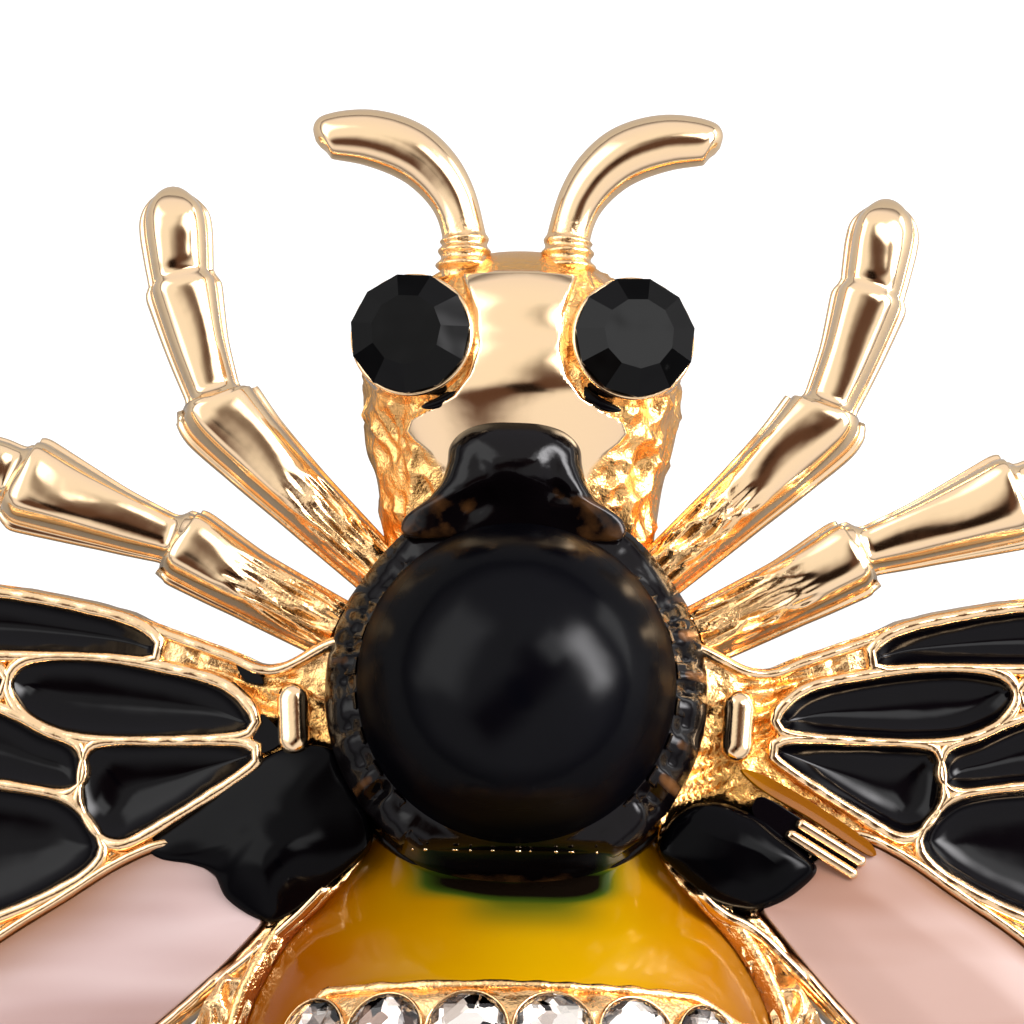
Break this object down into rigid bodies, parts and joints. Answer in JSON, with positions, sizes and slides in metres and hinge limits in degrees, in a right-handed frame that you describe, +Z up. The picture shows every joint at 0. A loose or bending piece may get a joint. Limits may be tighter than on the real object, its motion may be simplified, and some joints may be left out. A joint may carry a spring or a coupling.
{
  "type": "bee brooch",
  "caption": "Gilt bee brooch with enamelled wings and abdomen, a domed glass bead thorax, faceted eyes, crystal rows and a pin along its back.",
  "frame": {"origin": "on the surface that the brooch lies on, under the middle of its box", "axes": "+X towards the bee's right-hand wing tip as seen from above, +Y towards the head, +Z up out of the face"},
  "size_m": [0.0454, 0.0378, 0.0105],
  "materials": {
    "gilt_alloy": "polished gold plate",
    "black_enamel": "glossy enamel",
    "pearl_enamel": "pearly enamel",
    "yellow_enamel": "glossy enamel",
    "black_glass": "polished",
    "clear_crystal": "cut and foiled"
  },
  "bodies": {
    "root": {"casting": "gilt_alloy", "pin_fastening": "gilt_alloy", "thorax_bead": "black_glass", "neck_cap": "black_enamel", "eye_stone_left": "black_glass", "eye_stone_right": "black_glass", "fore_wing_enamel_left_a": "black_enamel", "fore_wing_enamel_left_b": "black_enamel", "fore_wing_enamel_left_c": "black_enamel", "fore_wing_enamel_left_d": "black_enamel", "fore_wing_enamel_left_e": "black_enamel", "fore_wing_enamel_left_f": "black_enamel", "fore_wing_enamel_left_g": "black_enamel", "fore_wing_enamel_right_a": "black_enamel", "fore_wing_enamel_right_b": "black_enamel", "fore_wing_enamel_right_c": "black_enamel", "fore_wing_enamel_right_d": "black_enamel", "fore_wing_enamel_right_e": "black_enamel", "fore_wing_enamel_right_f": "black_enamel", "fore_wing_enamel_right_g": "black_enamel", "hind_wing_enamel_left": "pearl_enamel", "hind_wing_enamel_right": "pearl_enamel", "shoulder_enamel_left": "black_enamel", "shoulder_enamel_right": "black_enamel", "abdomen_enamel_1": "yellow_enamel", "abdomen_enamel_2": "black_enamel", "abdomen_enamel_3": "yellow_enamel", "abdomen_enamel_4": "black_enamel", "crystal_1_1": "clear_crystal", "crystal_1_2": "clear_crystal", "crystal_1_3": "clear_crystal", "crystal_1_4": "clear_crystal", "crystal_1_5": "clear_crystal", "crystal_1_6": "clear_crystal", "crystal_2_1": "clear_crystal", "crystal_2_2": "clear_crystal", "crystal_2_3": "clear_crystal", "crystal_2_4": "clear_crystal", "crystal_2_5": "clear_crystal", "crystal_3_1": "clear_crystal", "crystal_3_2": "clear_crystal", "crystal_3_3": "clear_crystal"}
  },
  "joints": []
}
